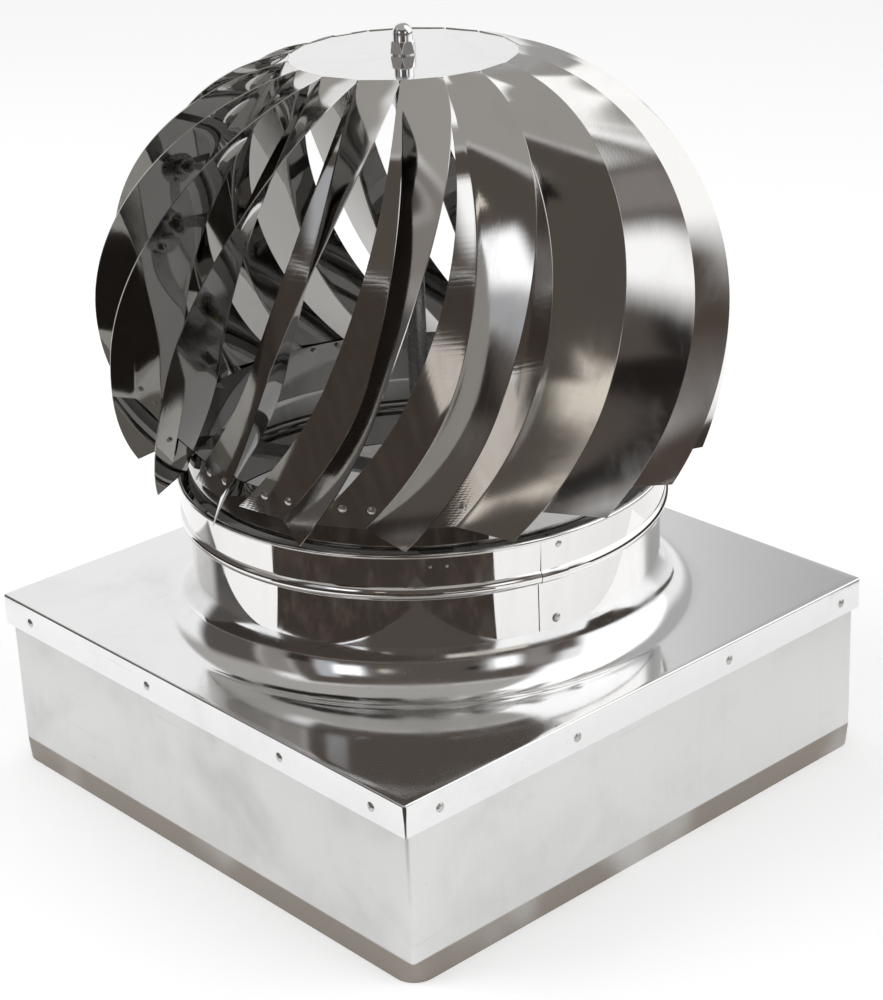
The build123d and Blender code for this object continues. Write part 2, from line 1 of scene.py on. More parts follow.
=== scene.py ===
"""Looks of a rotating globe ventilator: folded mirror blades on a spun neck and a square curb box.

Metres. +Z is up and is the rotor's axis, and the origin lies on it in the plane that the curb
box stands on. Azimuths are counted in degrees from the box's front corner, which points to
-45 degrees in the XY plane.
"""
import json
import logging
import math
from dataclasses import dataclass
from enum import Enum
from typing import Union

import bpy
import numpy as np
from mathutils import Matrix, Vector


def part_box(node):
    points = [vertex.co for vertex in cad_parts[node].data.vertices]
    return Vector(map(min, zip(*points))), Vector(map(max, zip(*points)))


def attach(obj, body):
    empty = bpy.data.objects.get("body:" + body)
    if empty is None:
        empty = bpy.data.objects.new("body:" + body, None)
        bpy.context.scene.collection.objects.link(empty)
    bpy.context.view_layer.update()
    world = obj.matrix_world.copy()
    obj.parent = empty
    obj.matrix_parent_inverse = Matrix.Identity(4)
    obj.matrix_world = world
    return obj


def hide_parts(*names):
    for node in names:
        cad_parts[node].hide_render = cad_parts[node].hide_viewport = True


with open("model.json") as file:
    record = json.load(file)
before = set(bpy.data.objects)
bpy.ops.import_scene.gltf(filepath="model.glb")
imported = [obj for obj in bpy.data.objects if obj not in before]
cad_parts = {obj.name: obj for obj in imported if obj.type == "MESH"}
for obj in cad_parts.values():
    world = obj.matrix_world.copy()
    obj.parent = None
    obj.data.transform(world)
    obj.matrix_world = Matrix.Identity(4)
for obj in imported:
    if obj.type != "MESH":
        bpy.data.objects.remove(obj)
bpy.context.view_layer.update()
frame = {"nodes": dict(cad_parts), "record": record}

MM = 0.001
OUTWARD = "outward"
FRONT_CORNER = math.radians(-45.0)
SHARP_ANGLE = math.radians(32.0)
LOG = logging.getLogger("ventilator")

Array = np.ndarray
Triple = tuple[float, float, float]
Lines = tuple[Array, Array, Array]
Piece = bpy.types.Object
Material = bpy.types.Material
Value = Union[float, int, "Socket"]


# ---- shapes
def polar(radius: Array, azimuth: Array, height: Array) -> Array:
    """Turns radius, azimuth in degrees from the front corner and height into XYZ.

    Args:
        radius: distances from the rotor's axis.
        azimuth: degrees from the front corner.
        height: Z values.

    Returns:
        Points, with x = r cos(a - 45 degrees), y = r sin(a - 45 degrees) and z = height.
    """
    angle = np.radians(azimuth) + FRONT_CORNER
    radius, angle, height = np.broadcast_arrays(radius, angle, height)
    return np.stack([radius * np.cos(angle), radius * np.sin(angle), height], axis=-1)


def unit(vectors: Array) -> Array:
    """Vectors divided by their own length."""
    return vectors / np.linalg.norm(vectors, axis=-1, keepdims=True)


def grid_quads(rows: int, cols: int, wrap_rows: bool, wrap_cols: bool) -> Array:
    """Quads of a grid of rows * cols points.

    Args:
        rows: number of rows.
        cols: number of columns.
        wrap_rows: joins the last row to the first.
        wrap_cols: joins the last column to the first.

    Returns:
        Index array, four corners a quad: (r, c), (r, c+1), (r+1, c+1), (r+1, c).
    """
    r = np.arange(rows if wrap_rows else rows - 1)[:, None]
    c = np.arange(cols if wrap_cols else cols - 1)[None, :]
    r_next = (r + 1) % rows
    c_next = (c + 1) % cols
    corners = [r * cols + c, r * cols + c_next, r_next * cols + c_next, r_next * cols + c]
    return np.stack(np.broadcast_arrays(*corners), axis=-1).reshape(-1, 4)


def at_heights(loops: Array, heights: Array) -> Array:
    """Loops (x, y), one a row, each lifted to its height."""
    z = np.broadcast_to(heights[:, None, None], loops.shape[:2] + (1,))
    return np.concatenate([loops, z], axis=-1)


def enclosed_volume(points: Array, quads: Array) -> float:
    """Signed volume of a closed shell: the sum of p0 . (p1 x p2) / 6 over its triangles."""
    total = 0.0
    for a, b, c in ((0, 1, 2), (0, 2, 3)):
        crossed = np.cross(points[quads[:, b]], points[quads[:, c]])
        total += float(np.einsum("ij,ij->", points[quads[:, a]], crossed)) / 6.0
    return total


def add_object(name: str, data: bpy.types.ID) -> Piece:
    """Object of a mesh, lamp or camera, in the scene."""
    made = bpy.data.objects.new(name, data)
    bpy.context.scene.collection.objects.link(made)
    return made


def put_mesh(name: str, points: Array, quads: Array) -> Piece:
    """Makes an object of a closed shell, with its faces turned outwards and soft shading.

    Args:
        name: the piece's name.
        points: vertices, one a row.
        quads: corners of the faces; a quad whose last two corners are alike is a triangle.

    Returns:
        The object, at the origin.
    """
    if enclosed_volume(points, quads) < 0:
        quads = quads[:, ::-1]
    faces = [tuple(dict.fromkeys(quad)) for quad in quads.tolist()]
    mesh = bpy.data.meshes.new(name)
    mesh.from_pydata(points.tolist(), [], faces)
    mesh.shade_smooth()
    mesh.set_sharp_from_angle(angle=SHARP_ANGLE)
    mesh.update()
    return add_object(name, mesh)


def sheet_solid(name: str, outer: Array, inner: Array) -> Piece:
    """Open strip of sheet metal: an outer and an inner grid joined along their four edges.

    The section is one closed loop a row: the outer points in order and then the inner ones
    backwards. The loops of the first and the last row are closed by quads that pair the two
    grids' points.

    Args:
        name: the piece's name.
        outer: grid of points, rows * cols * 3.
        inner: grid of the same shape, one sheet away.

    Returns:
        The object.
    """
    rows, cols = outer.shape[:2]
    loops = np.concatenate([outer, inner[:, ::-1]], axis=1)
    quads = grid_quads(rows, 2 * cols, False, True)
    c = np.arange(cols - 1)
    facing = 2 * cols - 1 - c
    last = (rows - 1) * 2 * cols
    first_cap = np.stack([c + 1, c, facing, facing - 1], axis=-1)
    last_cap = np.stack([c, c + 1, facing - 1, facing], axis=-1) + last
    quads = np.concatenate([quads, first_cap, last_cap])
    return put_mesh(name, loops.reshape(-1, 3), quads)


def mark_outward(piece: Piece, row: Array) -> None:
    """Marks the points of the outward faces with 1 and the others with 0, the same each row."""
    marks = np.tile(row.astype(float), len(piece.data.vertices) // len(row))
    piece.data.attributes.new(OUTWARD, "FLOAT", "POINT").data.foreach_set("value", marks)


def ring_solid(name: str, loops: Array) -> Piece:
    """Closed ring: a closed section (columns) carried round the axis (rows)."""
    rows, cols = loops.shape[:2]
    return put_mesh(name, loops.reshape(-1, 3), grid_quads(rows, cols, True, True))


def turned_solid(name: str, radius: Array, height: Array, azimuth: Array) -> Piece:
    """Solid of revolution whose first and last sections are points on the axis.

    Args:
        name: the piece's name.
        radius: radii, heights * azimuths, so that the radius may change round the piece.
        height: one height a row.
        azimuth: degrees, one a column.

    Returns:
        The object, with a fan of triangles at each pole.
    """
    body = polar(radius, azimuth[None, :], height[:, None])
    rows, cols = body.shape[:2]
    poles = np.array([[0, 0, height[0]], [0, 0, height[-1]]])
    points = np.concatenate([body.reshape(-1, 3), poles])
    quads = grid_quads(rows, cols, False, True)
    c = np.arange(cols)
    c_next = (c + 1) % cols
    low = np.full(cols, rows * cols)
    high = low + 1
    last = (rows - 1) * cols
    bottom = np.stack([c_next, c, low, low], axis=-1)
    top = np.stack([last + c, last + c_next, high, high], axis=-1)
    return put_mesh(name, points, np.concatenate([quads, bottom, top]))


def arc(centre: tuple[float, float], radius: float, start: float, end: float,
        steps: int) -> Array:
    """Points (r, z) of a round arc: centre + radius (cos a, sin a), with a in degrees."""
    angle = np.radians(np.linspace(start, end, steps))
    return np.stack([centre[0] + radius * np.cos(angle), centre[1] + radius * np.sin(angle)],
                    axis=-1)


def rounded_square(half: Array, corner: Array, side_steps: int, corner_steps: int) -> Array:
    """Rounded squares, one a row: four straight sides and four quarter circles.

    A corner's points are its centre, half - corner from both axes, plus corner times the
    direction of the quarter turn, and the sides run straight between them.

    Args:
        half: half widths, one a row.
        corner: corner radii, one a row.
        side_steps: pieces of each side.
        corner_steps: pieces of each quarter circle.

    Returns:
        Points (x, y), rows * columns * 2, anticlockwise.
    """
    loops = []
    for quarter in range(4):
        middle = math.radians(45 + 90 * quarter)
        signs = np.array([round(math.cos(middle) * math.sqrt(2)),
                          round(math.sin(middle) * math.sqrt(2))])
        turn = np.linspace(0, math.pi / 2, corner_steps + 1) + quarter * math.pi / 2
        direction = np.stack([np.cos(turn), np.sin(turn)], axis=-1)
        centre = (half - corner)[:, None, None] * signs
        bend = centre + corner[:, None, None] * direction
        across = np.array([-signs[1], signs[0]])
        next_start = ((half - corner)[:, None, None] * across
                      + corner[:, None, None] * direction[-1])
        share = np.linspace(0, 1, side_steps + 1)[1:-1][None, :, None]
        side = bend[:, -1:] * (1 - share) + next_start * share
        loops += [bend, side]
    return np.concatenate(loops, axis=1)


# ---- shader nodes
class Socket:
    """One output of a node, with which Python's operators write shader maths."""

    def __init__(self, graph: "Graph", socket: bpy.types.NodeSocket) -> None:
        """Keeps the graph and the socket."""
        self.graph = graph
        self.socket = socket

    def _math(self, operation: str, first: Value, second: Value) -> "Socket":
        """Adds a Math node for one operation on two values."""
        return self.graph.node("ShaderNodeMath", {"operation": operation},
                               {0: first, 1: second})

    def __add__(self, other: Value) -> "Socket":
        """self + other."""
        return self._math("ADD", self, other)

    def __radd__(self, other: Value) -> "Socket":
        """other + self."""
        return self._math("ADD", other, self)

    def __sub__(self, other: Value) -> "Socket":
        """self - other."""
        return self._math("SUBTRACT", self, other)

    def __rsub__(self, other: Value) -> "Socket":
        """other - self."""
        return self._math("SUBTRACT", other, self)

    def __mul__(self, other: Value) -> "Socket":
        """self * other."""
        return self._math("MULTIPLY", self, other)

    def __rmul__(self, other: Value) -> "Socket":
        """other * self."""
        return self._math("MULTIPLY", other, self)

    def __truediv__(self, other: Value) -> "Socket":
        """self / other."""
        return self._math("DIVIDE", self, other)


class Graph:
    """Node tree of one material or of the world."""

    def __init__(self, tree: bpy.types.NodeTree) -> None:
        """Empties the tree and keeps it."""
        tree.nodes.clear()
        self.tree = tree

    def node(self, kind: str, settings: dict | None = None, inputs: dict | None = None,
             output: str | int = 0) -> Socket:
        """Adds a node.

        Args:
            kind: the node's type.
            settings: its properties.
            inputs: values or Sockets by the input's name or number.
            output: name or number of the output that is wanted.

        Returns:
            That output.
        """
        made = self.tree.nodes.new(kind)
        for key, value in (settings or {}).items():
            setattr(made, key, value)
        for key, value in (inputs or {}).items():
            if isinstance(value, Socket):
                self.tree.links.new(value.socket, made.inputs[key])
            else:
                made.inputs[key].default_value = value
        return Socket(self, made.outputs[output]) if len(made.outputs) else None

    def coordinates(self, stretch: Triple = (1, 1, 1),
                    turn: float = 0.0) -> Socket:
        """Object coordinates, stretched by a factor on each axis and turned about Z."""
        place = self.node("ShaderNodeTexCoord", output="Object")
        return self.node("ShaderNodeMapping", {}, {"Vector": place, "Scale": stretch,
                                                   "Rotation": (0.0, 0.0, turn)})

    def noise(self, place: Socket, scale: float, detail: float = 2.0,
              roughness: float = 0.5, distortion: float = 0.0) -> Socket:
        """Noise from 0 to 1 at a scale in features a metre."""
        return self.node("ShaderNodeTexNoise", {},
                         {"Vector": place, "Scale": scale, "Detail": detail,
                          "Roughness": roughness, "Distortion": distortion}, "Fac")

    def mask(self, factor: Socket, low: float, high: float) -> Socket:
        """Smooth step of a factor, 0 below low and 1 above high."""
        return self.node("ShaderNodeMapRange", {"interpolation_type": "SMOOTHSTEP"},
                         {"Value": factor, "From Min": low, "From Max": high})

    def mix(self, factor: Value, first: Socket | tuple, second: Socket | tuple) -> Socket:
        """Blend of two colours."""
        return self.node("ShaderNodeMix", {"data_type": "RGBA"},
                         {0: factor, 6: first, 7: second}, 2)

    def function(self, operation: str, *values: Value) -> Socket:
        """Math node for a function of one or two values."""
        return self.node("ShaderNodeMath", {"operation": operation}, dict(enumerate(values)))

    def shown_directly(self) -> Socket:
        """1 for camera, glossy and transmission rays, and 0 for the light's other rays."""
        seen = [self.node("ShaderNodeLightPath", output=name)
                for name in ("Is Camera Ray", "Is Glossy Ray", "Is Transmission Ray")]
        return self.mask(seen[0] + seen[1] + seen[2], 0.0, 1.0)

    def along(self, place: Socket, axis: str) -> Socket:
        """One coordinate of a place: X, Y or Z."""
        return self.node("ShaderNodeSeparateXYZ", {}, {"Vector": place}, axis)

    def bump(self, height: Socket, depth: float, before: Socket | None = None) -> Socket:
        """Normal of a relief whose height runs from 0 to depth metres."""
        inputs = {"Height": height, "Distance": depth, "Strength": 1.0}
        if before is not None:
            inputs["Normal"] = before
        return self.node("ShaderNodeBump", {}, inputs)


def rgba(colour: Triple) -> tuple[float, float, float, float]:
    """Colour with full alpha."""
    return (*colour, 1.0)


# ---- finishes
@dataclass(frozen=True)
class MirrorSheet:
    """Mirror-polished stainless sheet: slow waves from rolling and bending, faint wipe marks.

    Faces that the mesh marks as outward have a tone and a haze of their own, with a fine level
    grain. Their bow is a relief of the shading alone: it turns what they mirror and leaves the
    mesh as it is.
    """

    tone: Triple = (0.80, 0.79, 0.775)
    haze: float = 0.035
    smudge: float = 0.07
    wave_depth: float = 0.0007
    inner_waves: float = 2.2        # height of the inner faces' waves, in the outward ones'
    waves_per_metre: float = 7.0
    ripple_share: float = 0.04      # fine ripple's depth, in the waves'
    dust: float = 0.05
    mark_share: float = 0.35        # how far wiped marks dull the tone
    dust_share: float = 0.4
    outward_haze: float = 0.0
    outward_tone: Triple | None = None
    outward_bow: float = 0.0
    bow_heights: tuple[float, float] = (0.520, 0.578)

    def material(self, name: str) -> Material:
        """Builds the material."""
        material, graph = new_material(name)
        place = graph.coordinates()
        outward = graph.node("ShaderNodeAttribute", {"attribute_name": OUTWARD}, output="Fac")
        grain = graph.noise(graph.coordinates((1, 1, 45)), 12.0, 3.0, 0.7)
        waves = graph.noise(place, self.waves_per_metre, 1.0, 0.4, 0.3)
        ripple = graph.noise(graph.coordinates((1, 1, 0.25)), 38.0, 2.0)
        wipe = graph.noise(graph.coordinates((1, 1, 0.3), 0.4), 26.0, 4.0, 0.65, 0.8)
        speck = graph.mask(graph.noise(place, 900.0, 2.0), 0.66, 0.76)
        marks = graph.mask(wipe, 0.45, 0.75)
        rough = (self.haze + marks * self.smudge + speck * self.dust
                 + outward * (grain * 0.5 + 0.75) * self.outward_haze)
        # Faces not marked outward take tone; where a finish darkens it, that is painted shade.
        colour = graph.mix(outward, rgba(self.tone), rgba(self.outward_tone or self.tone))
        dull = graph.mix(outward, rgba(self._dulled(self.tone)),
                         rgba(self._dulled(self.outward_tone or self.tone)))
        colour = graph.mix(marks * self.mark_share + speck * self.dust_share, colour, dull)
        bowed = self._bowed(graph, place, outward) if self.outward_bow else None
        inner_more = self.inner_waves - outward * (self.inner_waves - 1.0)
        normal = graph.bump(waves * inner_more, self.wave_depth, bowed)
        normal = graph.bump(ripple, self.wave_depth * self.ripple_share, normal)
        finish_metal(graph, colour, rough, normal)
        return material

    def _bowed(self, graph: Graph, place: Socket, outward: Socket) -> Socket:
        """Shading normal of the outward faces, bowed towards their free edge below the crown.

        It is that of a relief that falls by the bow for each unit away from the axis. It fades
        out between the two bow heights, and the mesh doesn't follow it.

        Args:
            graph: the material's graph.
            place: Object coordinates.
            outward: 1 on the outward faces.

        Returns:
            The normal, which is the mesh's own on all other faces.
        """
        level = graph.node("ShaderNodeVectorMath", {"operation": "MULTIPLY"},
                           {0: place, 1: (1.0, 1.0, 0.0)})
        radius = graph.node("ShaderNodeVectorMath", {"operation": "LENGTH"}, {0: level}, "Value")
        height = graph.along(place, "Z")
        share = outward * (1.0 - graph.mask(height, *self.bow_heights))
        flat = graph.node("ShaderNodeNewGeometry", output="Normal")
        return graph.mix(share, flat, graph.bump(radius, -self.outward_bow))

    @staticmethod
    def _dulled(tone: Triple) -> Triple:
        """Tone of the wiped marks and the dust."""
        return tuple(0.86 * part for part in tone)


@dataclass(frozen=True)
class RolledSheet:
    """Bright rolled sheet: a soft mirror with rolling lines, fine scratches and finger marks."""

    tone: Triple = (0.80, 0.80, 0.80)
    haze: float = 0.16
    smudge: float = 0.12
    wave_depth: float = 0.0006
    waves_per_metre: float = 5.0
    line_stretch: Triple = (1.0, 60.0, 60.0)
    scratch: float = 0.25
    line_relief: float = 0.000004
    foot_height: float = 0.0
    foot_edge: float = 0.8 * MM     # half of the band's soft edge
    foot_wear: float = 0.6          # how far noise spots lighten the painted reflection band
    foot_gloss: float = 0.6         # share of the haze that the band loses
    # dark tone of the painted reflection: the skirt's mirror image of the dark floor
    foot_tone: Triple = (0.29, 0.26, 0.23)

    def material(self, name: str) -> Material:
        """Builds the material."""
        material, graph = new_material(name)
        place = graph.coordinates()
        lines = graph.noise(graph.coordinates(self.line_stretch), 9.0, 3.0, 0.7)
        blotch = graph.noise(place, 11.0, 5.0, 0.6, 0.5)
        waves = graph.noise(place, self.waves_per_metre, 1.0, 0.4)
        scratches = self._scratches(graph)
        marks = graph.mask(blotch, 0.42, 0.78)
        rough = self.haze + marks * self.smudge + (lines - 0.5) * 0.05 + scratches * 0.12
        dull = tuple(0.84 * part for part in self.tone)
        shade = marks * 0.5 + graph.mask(lines, 0.5, 0.9) * 0.3 + scratches * self.scratch
        colour = graph.mix(shade, rgba(self.tone), rgba(dull))
        if self.foot_height:
            # Painted reflection: the skirt's view of the dark floor, laid on as a dark band of
            # base colour.
            foot = self._foot(graph, place)
            colour = graph.mix(foot, colour, rgba(self.foot_tone))
            rough = rough - foot * self.haze * self.foot_gloss
        normal = graph.bump(waves, self.wave_depth)
        normal = graph.bump(lines, self.line_relief, normal)
        finish_metal(graph, colour, rough, normal)
        return material

    def _foot(self, graph: Graph, place: Socket) -> Socket:
        """Share of the painted reflection's dark tone on the foot, less where slow noise lightens
        it.
        """
        height = graph.along(place, "Z")
        lighter_spots = graph.mask(graph.noise(place, 7.0, 2.0), 0.5, 0.72)
        band = 1.0 - graph.mask(height, self.foot_height - self.foot_edge,
                                self.foot_height + self.foot_edge)
        return band * (1.0 - lighter_spots * self.foot_wear)

    @staticmethod
    def _scratches(graph: Graph) -> Socket:
        """Thin stray scratches: narrow bands of two stretched noises that cross."""
        first = graph.noise(graph.coordinates((2, 90, 90), 0.5), 4.0, 2.0, 0.5, 0.1)
        second = graph.noise(graph.coordinates((90, 2, 90), 0.2), 4.0, 2.0, 0.5, 0.1)
        return graph.mask(first, 0.70, 0.74) + graph.mask(second, 0.71, 0.75)


@dataclass(frozen=True)
class PlainMetal:
    """Small turned, plated or blued metal piece with fine grain and a little grime."""

    tone: Triple
    haze: float
    grime: Triple = (0.12, 0.10, 0.09)
    grime_share: float = 0.25
    grain: float = 0.00001
    grain_per_metre: float = 700.0

    def material(self, name: str) -> Material:
        """Builds the material."""
        material, graph = new_material(name)
        place = graph.coordinates()
        grain = graph.noise(place, self.grain_per_metre, 3.0, 0.6)
        film = graph.mask(graph.noise(place, 90.0, 4.0, 0.6), 0.48, 0.8)
        colour = graph.mix(film * self.grime_share, rgba(self.tone), rgba(self.grime))
        rough = self.haze + film * 0.15 + (grain - 0.5) * 0.08
        finish_metal(graph, colour, rough, graph.bump(grain, self.grain))
        return material


def new_material(name: str) -> tuple[Material, Graph]:
    """Empty node material and its graph."""
    material = bpy.data.materials.new(name)
    material.use_nodes = True
    return material, Graph(material.node_tree)


def finish_metal(graph: Graph, colour: Socket, rough: Socket, normal: Socket) -> None:
    """Closes a metal's graph with its shader and output."""
    shader = graph.node("ShaderNodeBsdfPrincipled", {},
                        {"Base Color": colour, "Roughness": rough, "Metallic": 1.0,
                         "Normal": normal})
    graph.node("ShaderNodeOutputMaterial", {}, {"Surface": shader})


class Finish(Enum):
    """The record's material slots and the finish of each."""

    # box_sheet: below foot_height the skirt carries a painted reflection, a dark band of base
    # colour.
    box_sheet = RolledSheet(tone=(0.77, 0.77, 0.765), haze=0.40, line_stretch=(60, 60, 1),
                            scratch=0.40, foot_height=0.017)
    cover_sheet = RolledSheet(tone=(0.84, 0.84, 0.84), haze=0.085, smudge=0.16, scratch=0.40)
    # The dark tone of the collar's and blades' faces not marked outward is painted shade: the
    # shaded inside of the neck and the rotor.
    collar_sheet = MirrorSheet(tone=(0.30, 0.29, 0.28), outward_tone=(0.82, 0.81, 0.80),
                               wave_depth=0.0004)
    blade_sheet = MirrorSheet(tone=(0.30, 0.29, 0.275), outward_tone=(0.70, 0.69, 0.675),
                              outward_haze=0.045, outward_bow=0.6, wave_depth=0.0009)
    crown_sheet = MirrorSheet(tone=(0.82, 0.82, 0.815), haze=0.06, wave_depth=0.0003)
    # ring_sheet's dark tone is painted shade inside the blades' feet.
    ring_sheet = MirrorSheet(tone=(0.42, 0.41, 0.40))
    rivet_steel = PlainMetal((0.60, 0.58, 0.56), 0.28)
    arm_bar = PlainMetal((0.55, 0.55, 0.55), 0.38)
    turned_steel = PlainMetal((0.58, 0.58, 0.59), 0.26)
    zinc_fasteners = PlainMetal((0.64, 0.65, 0.66), 0.30)
    cap_nut_chrome = PlainMetal((0.82, 0.83, 0.84), 0.07, grime_share=0.08)
    spring_steel = PlainMetal((0.16, 0.16, 0.18), 0.34)
    bearing_steel = PlainMetal((0.72, 0.73, 0.74), 0.12)
    cage_brass = PlainMetal((0.72, 0.53, 0.25), 0.24, grime=(0.2, 0.12, 0.05))


class Finisher:
    """Makes each finish once and puts it on pieces."""

    def __init__(self) -> None:
        """Starts with no material made."""
        self.made: dict[Finish, Material] = {}

    def dress(self, piece: Piece, finish: Finish) -> None:
        """Puts a finish on a piece and names its slot."""
        if finish not in self.made:
            self.made[finish] = finish.value.material(finish.name)
        piece.data.materials.clear()
        piece.data.materials.append(self.made[finish])

    def place(self, piece: Piece, finish: Finish, body: str, *nodes: str) -> None:
        """Dresses a new piece, ties it to its body and lets it stand for CAD nodes."""
        self.dress(piece, finish)
        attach(piece, body)
        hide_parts(*nodes)
        LOG.info("%s: %d vertices", piece.name, len(piece.data.vertices))


# ---- curb box
@dataclass
class CurbBox:
    """Square sheet wall with a flared, rounded skirt at its foot."""

    half: float = 245.8 * MM
    sheet: float = 1.0 * MM
    corner: float = 3.0 * MM
    skirt_height: float = 17.0 * MM
    skirt_flare: float = 3.0 * MM
    skirt_corner: float = 18.0 * MM
    top: float = 149.0 * MM
    lip_half: float = 248.8 * MM

    def build(self, finisher: Finisher) -> None:
        """Builds the wall, inside and outside, and dresses it."""
        skirt = np.linspace(0, self.skirt_height, 9)
        wall = np.linspace(self.skirt_height + 1 * MM, self.top - self.sheet, 24)
        outside = [(z, self._half_at(z), self._corner_at(z)) for z in [*skirt, *wall]]
        lip = [(self.top - self.sheet, self.lip_half, self.corner),
               (self.top, self.lip_half, self.corner)]
        inside = [(z, half - self.sheet, corner - self.sheet)
                  for z, half, corner in reversed(outside)]
        inside.insert(0, (self.top, self.half - self.sheet, self.corner - self.sheet))
        section = np.array(outside + lip + inside)
        loops = rounded_square(section[:, 1], section[:, 2], 24, 10)
        points = at_heights(loops, section[:, 0])
        finisher.place(ring_solid("curb_box_wall", points.transpose(1, 0, 2)),
                       Finish.box_sheet, "base", "base_box")

    def _half_at(self, z: float) -> float:
        """Half width: the flare shrinks evenly up the skirt."""
        return self.half + self.skirt_flare * max(0.0, 1 - z / self.skirt_height)

    def _corner_at(self, z: float) -> float:
        """Corner radius: it shrinks evenly up the skirt to the wall's own."""
        share = max(0.0, 1 - z / self.skirt_height)
        return self.corner + (self.skirt_corner - self.corner) * share


@dataclass
class CurbCover:
    """Cover with a turned-down flange, a soft fold along its edge and a spun cove."""

    half: float = 250.0 * MM
    sheet: float = 1.0 * MM
    top: float = 150.0 * MM
    flange_depth: float = 26.0 * MM
    corner: float = 2.5 * MM
    fold: float = 1.6 * MM
    cove_foot: float = 217.0 * MM
    cove_height: float = 39.0 * MM
    neck: float = 189.1 * MM
    upstand: float = 14.0 * MM

    def build(self, finisher: Finisher) -> None:
        """Builds the cover, from the flange's lower edge to the upstand inside the collar."""
        loops = np.concatenate([self._skin(0.0), self._skin(self.sheet)[::-1]])
        piece = ring_solid("curb_cover_sheet", loops.transpose(1, 0, 2))
        finisher.place(piece, Finish.cover_sheet, "base", "base_cover")

    def _skin(self, depth: float) -> Array:
        """One face of the sheet, depth below the outer one: flange, fold, flat, cove, upstand.

        The fold is a quarter circle. The flat runs straight from the square's outline to the
        cove's foot circle at the same azimuth. The cove is a quarter ellipse about a centre
        at the foot's radius and the cove's top.
        """
        half = self.half - depth
        fold = self.fold - depth
        bottom = self.top - self.flange_depth
        rise = np.array([bottom, (bottom + self.top) / 2, self.top - self.fold])
        corner = self.corner - depth
        flange = rounded_square(np.full(3, half), np.full(3, corner), 40, 8)
        turn = np.radians(np.linspace(0, 90, 7)[1:])
        fold_half = half - fold * (1 - np.cos(turn))
        fold_corner = np.maximum(corner - fold * (1 - np.cos(turn)), 0.3 * MM)
        bend = rounded_square(fold_half, fold_corner, 40, 8)
        heights = np.concatenate([rise, self.top - self.fold + fold * np.sin(turn)])
        outline = np.concatenate([flange, bend])
        edge = outline[-1]
        azimuth = np.arctan2(edge[:, 1], edge[:, 0])
        foot = np.stack([np.cos(azimuth), np.sin(azimuth)], axis=-1) * self.cove_foot
        share = np.linspace(0, 1, 14)[1:, None, None]
        flat = edge * (1 - share) + foot * share
        quarter = np.radians(np.linspace(0, 90, 25)[1:])
        reach = self.cove_foot - self.neck + depth
        radius = self.cove_foot - reach * np.sin(quarter)
        radius = np.append(radius, radius[-1])
        cove = radius[:, None, None] * (foot / self.cove_foot)
        cove_top = self.top + self.cove_height
        cove_z = cove_top - (self.cove_height + depth) * np.cos(quarter)
        level = np.full(13, self.top - depth)
        heights = np.concatenate([heights, level, cove_z, [cove_top + self.upstand]])
        loops = np.concatenate([outline, flat, cove])
        return at_heights(loops, heights)


@dataclass
class NeckCollar:
    """Rolled collar: lower band, swaged bead, upper band, rolled rim and a lap seam."""

    radius: float = 190.0 * MM
    upper_radius: float = 194.5 * MM
    sheet: float = 0.8 * MM
    bottom: float = 189.0 * MM
    bead_bottom: float = 229.0 * MM
    bead_top: float = 241.0 * MM
    bulge: float = 7.0 * MM
    top: float = 268.0 * MM
    roll: float = 1.8 * MM
    seam_azimuth: float = 36.0
    seam_lap: float = 22.0 * MM
    low_steps: int = 4
    bead_steps: int = 17
    rim_steps: int = 21

    def build(self, finisher: Finisher) -> None:
        """Builds the collar as one closed section carried round the axis.

        The section starts with the outer low band and bead and ends with the inner ones.
        """
        azimuth = self._azimuths()
        profile = self._section()
        lift = self._lap_step(azimuth)
        order = np.arange(len(profile))
        band = self.low_steps + self.bead_steps
        shift = np.where(order < band, 1.0, 0.0)
        radius = profile[None, :, 0] + lift[:, None] * shift[None, :]
        loops = polar(radius, azimuth[:, None], profile[None, :, 1])
        piece = ring_solid("collar_sheet", loops)
        mark_outward(piece, order < len(profile) - band)
        finisher.place(piece, Finish.collar_sheet, "base", "neck_collar")

    def _azimuths(self) -> Array:
        """Even steps round the axis, with more of them at the lap's two edges."""
        lap = math.degrees(self.seam_lap / self.radius)
        edges = np.array([self.seam_azimuth - lap, self.seam_azimuth])
        fine = (edges[:, None] + np.array([-0.06, -0.02, 0.0, 0.02, 0.06])).ravel()
        return np.unique(np.concatenate([np.linspace(-180, 180, 361)[:-1], fine]))

    def _lap_step(self, azimuth: Array) -> Array:
        """Radius that the lap adds: one sheet between its edges, and none elsewhere."""
        lap = math.degrees(self.seam_lap / self.radius)
        inside = (azimuth >= self.seam_azimuth - lap) & (azimuth <= self.seam_azimuth)
        return np.where(inside, self.sheet, 0.0)

    def _bead(self, inset: float) -> Array:
        """Bead's circular arc through its foot, crest and head, inset by a sheet or none.

        The circle through three points has its centre where the bisectors of two chords meet.
        """
        foot = np.array([self.radius - inset, self.bead_bottom])
        crest = np.array([self.radius + self.bulge - inset,
                          (self.bead_bottom + self.bead_top) / 2])
        head = np.array([self.upper_radius - inset, self.bead_top])
        rows = np.stack([crest - foot, head - foot])
        squares = np.array([crest @ crest - foot @ foot, head @ head - foot @ foot]) / 2
        centre = np.linalg.solve(rows, squares)
        start, end = (math.degrees(math.atan2(*(point - centre)[::-1])) for point in (foot, head))
        return arc(tuple(centre), float(np.linalg.norm(foot - centre)), start, end,
                   self.bead_steps)

    def _section(self) -> Array:
        """Closed section (r, z): up the outside, over the rolled rim and down the inside."""
        rim_centre = (self.upper_radius - self.sheet + self.roll, self.top - self.roll)
        rim = arc(rim_centre, self.roll, -70, 180, self.rim_steps)
        low = np.linspace(self.bottom, self.bead_bottom, self.low_steps + 1)[:-1]
        outer_low = np.stack([np.full(self.low_steps, self.radius), low], axis=-1)
        inner_low = outer_low[::-1] - [self.sheet, 0]
        return np.concatenate([outer_low, self._bead(0), rim, self._bead(self.sheet)[::-1],
                               inner_low])


